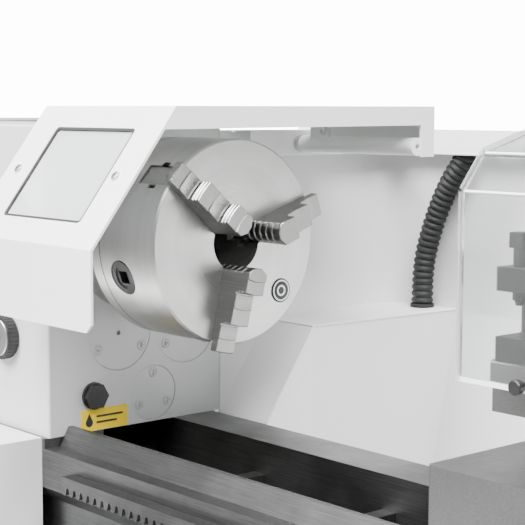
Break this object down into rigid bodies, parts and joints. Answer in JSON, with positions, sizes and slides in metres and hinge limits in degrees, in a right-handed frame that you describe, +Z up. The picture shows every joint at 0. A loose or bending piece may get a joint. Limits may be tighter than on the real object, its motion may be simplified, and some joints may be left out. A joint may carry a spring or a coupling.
{
  "type": "metal lathe",
  "caption": "Geared-head metal lathe on cabinets: three-jaw chuck under a hinged guard, splash guard, carriage with tool post, and tailstock.",
  "frame": {"origin": "centre of the overall box, on the floor", "axes": "+X along the spindle towards the tailstock, +Y to the rear, +Z up"},
  "size_m": [1.857, 0.635, 1.1855],
  "materials": {
    "paint_white": "satin enamel",
    "paint_grey": "satin enamel",
    "cast_iron": "ground ways, painted webs",
    "machined_iron": "ground",
    "chuck_steel": "turned",
    "jaw_steel": "ground",
    "gear_steel": "oiled",
    "bright_steel": "polished",
    "black_steel": "blackened",
    "black_plastic": "moulded",
    "chrome": "polished",
    "rubber": "matt",
    "black_hose": "corrugated",
    "window": "clear sheet",
    "clear_guard": "clear sheet",
    "red_plastic": "gloss",
    "green_plastic": "gloss"
  },
  "bodies": {
    "frame": {"left_cabinet": "paint_grey", "right_cabinet": "paint_grey", "levelling_feet": "rubber", "chip_tray": "paint_grey", "bed": "cast_iron", "headstock_casing": "paint_white", "headstock_top_cover": "paint_white", "shaft_covers": "paint_white", "cover_screws": "black_steel", "oil_filler_plug": "black_plastic", "spindle_bearings": "chuck_steel", "motor": "paint_grey", "drive_belt": "rubber", "feed_gearbox": "paint_white", "guard_rod": "bright_steel", "splash_guard": "paint_white", "conduit": "black_hose"},
    "cabinet_door": {"cabinet_door": "paint_grey"},
    "brake_pedal": {"brake_pedal": "paint_grey"},
    "emergency_stop": {"emergency_stop": "red_plastic"},
    "start_button": {"start_button": "green_plastic"},
    "speed_lever": {"speed_lever": "black_plastic"},
    "feed_selector": {"feed_selector": "black_plastic"},
    "spindle": {"spindle": "jaw_steel", "spindle_gears": "gear_steel", "chuck_backplate": "chuck_steel", "chuck_body": "chuck_steel"},
    "scroll": {"scroll_plate": "jaw_steel"},
    "jaw_1": {"jaw_1": "jaw_steel"},
    "jaw_2": {"jaw_2": "jaw_steel"},
    "jaw_3": {"jaw_3": "jaw_steel"},
    "chuck_pinion": {"chuck_pinion": "black_steel"},
    "intermediate_shaft": {"intermediate_shaft": "gear_steel"},
    "input_shaft": {"input_shaft": "gear_steel"},
    "motor_pulley": {"motor_pulley": "gear_steel"},
    "idler_gear": {"idler_gear": "gear_steel"},
    "feed_gear": {"feed_gear": "gear_steel"},
    "leadscrew": {"leadscrew": "bright_steel"},
    "feed_rod": {"feed_rod": "bright_steel"},
    "control_rod": {"control_rod": "bright_steel"},
    "end_cover": {"end_cover": "paint_white"},
    "chuck_guard": {"chuck_guard": "paint_white", "guard_window": "window"},
    "carriage": {"saddle": "machined_iron", "apron": "paint_white"},
    "carriage_handwheel": {"carriage_handwheel": "chrome"},
    "half_nut_lever": {"half_nut_lever": "black_plastic"},
    "cross_slide": {"cross_slide": "machined_iron"},
    "cross_handwheel": {"cross_handwheel": "chrome"},
    "compound": {"compound_base": "machined_iron"},
    "top_slide": {"top_slide": "machined_iron"},
    "top_slide_handwheel": {"top_slide_handwheel": "chrome"},
    "tool_post": {"tool_post": "black_steel", "cutting_tool": "black_steel"},
    "tool_post_lever": {"tool_post_lever": "black_plastic"},
    "tool_guard": {"tool_guard": "clear_guard"},
    "tailstock": {"tailstock_body": "paint_white"},
    "quill": {"quill": "bright_steel"},
    "quill_handwheel": {"quill_handwheel": "chrome"},
    "quill_lock": {"quill_lock": "black_plastic"}
  },
  "joints": [
    {"name": "cabinet_door_hinge", "type": "hinge", "parent": "frame", "child": "cabinet_door", "pos_m": [-0.8225, -0.2115, 0.38], "axis": [0, 0, -1], "range_deg": [0, 110]},
    {"name": "brake_pedal_hinge", "type": "hinge", "parent": "frame", "child": "brake_pedal", "pos_m": [-0.1865, -0.1575, 0.13], "axis": [1, 0, 0], "range_deg": [0, 12], "stiffness_Nm_per_rad": 60, "springref_deg": -11.46},
    {"name": "emergency_stop_push", "type": "slide", "parent": "frame", "child": "emergency_stop", "axis": [0, 1, 0], "range_m": [0, 0.006]},
    {"name": "start_button_push", "type": "slide", "parent": "frame", "child": "start_button", "axis": [0, 1, 0], "range_m": [0, 0.003], "stiffness_N_per_m": 600, "springref_m": -0.001},
    {"name": "speed_lever_turn", "type": "hinge", "parent": "frame", "child": "speed_lever", "pos_m": [-0.4785, -0.1065, 0.992], "axis": [0, 1, 0], "range_deg": [-22, 30]},
    {"name": "feed_selector_turn", "type": "hinge", "parent": "frame", "child": "feed_selector", "pos_m": [-0.6265, -0.2095, 0.845], "axis": [0, 1, 0], "range_deg": [-60, 60]},
    {"name": "spindle_spin", "type": "hinge", "parent": "frame", "child": "spindle", "pos_m": [-0.2865, -0.0175, 1.08], "axis": [1, 0, 0], "continuous": true},
    {"name": "scroll_spin", "type": "hinge", "parent": "spindle", "child": "scroll", "pos_m": [-0.2865, -0.0175, 1.08], "axis": [1, 0, 0], "range_deg": [-630, 630]},
    {"name": "jaw_1_slide", "type": "slide", "parent": "spindle", "child": "jaw_1", "axis": [0, 0.9494, 0.314], "range_m": [-0.0145, 0.0145]},
    {"name": "jaw_2_slide", "type": "slide", "parent": "spindle", "child": "jaw_2", "axis": [0, -0.7466, 0.6652], "range_m": [-0.0145, 0.0145]},
    {"name": "jaw_3_slide", "type": "slide", "parent": "spindle", "child": "jaw_3", "axis": [0, -0.2028, -0.9792], "range_m": [-0.0145, 0.0145]},
    {"name": "chuck_pinion_turn", "type": "hinge", "parent": "spindle", "child": "chuck_pinion", "pos_m": [-0.3315, -0.05523, 1.06671], "axis": [0, -0.9432, -0.3322], "range_deg": [-1900, 1900]},
    {"name": "intermediate_spin", "type": "hinge", "parent": "frame", "child": "intermediate_shaft", "pos_m": [-0.5865, -0.0355, 0.994], "axis": [1, 0, 0], "continuous": true},
    {"name": "input_spin", "type": "hinge", "parent": "frame", "child": "input_shaft", "pos_m": [-0.5865, 0.0345, 0.994], "axis": [1, 0, 0], "continuous": true},
    {"name": "motor_spin", "type": "hinge", "parent": "frame", "child": "motor_pulley", "pos_m": [-0.7865, 0.1875, 0.79], "axis": [1, 0, 0], "continuous": true},
    {"name": "idler_spin", "type": "hinge", "parent": "frame", "child": "idler_gear", "pos_m": [-0.8335, -0.0859, 0.95785], "axis": [1, 0, 0], "continuous": true},
    {"name": "feed_gear_spin", "type": "hinge", "parent": "frame", "child": "feed_gear", "pos_m": [-0.8335, -0.1575, 0.83], "axis": [1, 0, 0], "continuous": true},
    {"name": "leadscrew_spin", "type": "hinge", "parent": "frame", "child": "leadscrew", "pos_m": [-0.2865, -0.1675, 0.845], "axis": [1, 0, 0], "continuous": true},
    {"name": "feed_rod_spin", "type": "hinge", "parent": "frame", "child": "feed_rod", "pos_m": [-0.2865, -0.1675, 0.805], "axis": [1, 0, 0], "continuous": true},
    {"name": "control_rod_turn", "type": "hinge", "parent": "frame", "child": "control_rod", "pos_m": [-0.2865, -0.1675, 0.768], "axis": [1, 0, 0], "range_deg": [-12, 12]},
    {"name": "end_cover_hinge", "type": "hinge", "parent": "frame", "child": "end_cover", "pos_m": [-0.8255, 0.2485, 0.98], "axis": [0, 0, -1], "range_deg": [0, 90]},
    {"name": "chuck_guard_hinge", "type": "hinge", "parent": "frame", "child": "chuck_guard", "pos_m": [-0.3265, 0.1445, 1.1523], "axis": [-1, 0, 0], "range_deg": [0, 88]},
    {"name": "carriage_slide", "type": "slide", "parent": "frame", "child": "carriage", "axis": [1, 0, 0], "range_m": [-0.25, 0.08]},
    {"name": "carriage_wheel_spin", "type": "hinge", "parent": "carriage", "child": "carriage_handwheel", "pos_m": [0.0975, -0.2655, 0.79], "axis": [0, 1, 0], "continuous": true},
    {"name": "half_nut_turn", "type": "hinge", "parent": "carriage", "child": "half_nut_lever", "pos_m": [0.1955, -0.2375, 0.845], "axis": [0, 1, 0], "range_deg": [0, 35]},
    {"name": "cross_slide_move", "type": "slide", "parent": "carriage", "child": "cross_slide", "axis": [0, 1, 0], "range_m": [-0.05, 0.11]},
    {"name": "cross_wheel_spin", "type": "hinge", "parent": "carriage", "child": "cross_handwheel", "pos_m": [0.1435, -0.2435, 0.922], "axis": [0, 1, 0], "continuous": true},
    {"name": "compound_swivel", "type": "hinge", "parent": "cross_slide", "child": "compound", "pos_m": [0.1435, -0.0895, 1], "axis": [0, 0, 1], "range_deg": [-45, 45]},
    {"name": "top_slide_move", "type": "slide", "parent": "compound", "child": "top_slide", "axis": [1, 0, 0], "range_m": [-0.04, 0.015]},
    {"name": "top_wheel_spin", "type": "hinge", "parent": "compound", "child": "top_slide_handwheel", "pos_m": [0.2695, -0.0895, 1.035], "axis": [1, 0, 0], "continuous": true},
    {"name": "tool_post_turn", "type": "hinge", "parent": "top_slide", "child": "tool_post", "pos_m": [0.0995, -0.0895, 1.08], "axis": [0, 0, 1], "continuous": true},
    {"name": "tool_post_lever_turn", "type": "hinge", "parent": "top_slide", "child": "tool_post_lever", "pos_m": [0.0995, -0.0895, 1.11], "axis": [0, 0, 1], "range_deg": [-40, 40]},
    {"name": "tool_guard_hinge", "type": "hinge", "parent": "compound", "child": "tool_guard", "pos_m": [0.1235, -0.0855, 1.166], "axis": [-1, 0, 0], "range_deg": [0, 85]},
    {"name": "tailstock_slide", "type": "slide", "parent": "frame", "child": "tailstock", "axis": [1, 0, 0], "range_m": [-0.08, 0.03]},
    {"name": "quill_slide", "type": "slide", "parent": "tailstock", "child": "quill", "axis": [-1, 0, 0], "range_m": [0, 0.1]},
    {"name": "quill_wheel_spin", "type": "hinge", "parent": "tailstock", "child": "quill_handwheel", "pos_m": [0.8655, -0.0175, 1.08], "axis": [1, 0, 0], "continuous": true},
    {"name": "quill_lock_turn", "type": "hinge", "parent": "tailstock", "child": "quill_lock", "pos_m": [0.7035, -0.0175, 1.13], "axis": [0, 0, 1], "range_deg": [-30, 30]}
  ],
  "couplings": [
    {"joint": "jaw_1_slide", "follows": "scroll_spin", "m_per_rad": 0.0012732},
    {"joint": "jaw_2_slide", "follows": "scroll_spin", "m_per_rad": 0.0012732},
    {"joint": "jaw_3_slide", "follows": "scroll_spin", "m_per_rad": 0.0012732},
    {"joint": "chuck_pinion_turn", "follows": "scroll_spin", "ratio": -3},
    {"joint": "intermediate_spin", "follows": "spindle_spin", "ratio": -1.75},
    {"joint": "input_spin", "follows": "spindle_spin", "ratio": 4.375},
    {"joint": "motor_spin", "follows": "spindle_spin", "ratio": 6.5625},
    {"joint": "idler_spin", "follows": "spindle_spin", "ratio": -0.4},
    {"joint": "feed_gear_spin", "follows": "spindle_spin", "ratio": 0.86957},
    {"joint": "leadscrew_spin", "follows": "spindle_spin", "ratio": 0.43478},
    {"joint": "feed_rod_spin", "follows": "spindle_spin", "ratio": 0.21739},
    {"joint": "carriage_wheel_spin", "follows": "carriage_slide", "rad_per_m": 251.33},
    {"joint": "cross_wheel_spin", "follows": "cross_slide_move", "rad_per_m": 1256.6},
    {"joint": "top_wheel_spin", "follows": "top_slide_move", "rad_per_m": 1570.8},
    {"joint": "quill_wheel_spin", "follows": "quill_slide", "rad_per_m": 1256.6}
  ]
}
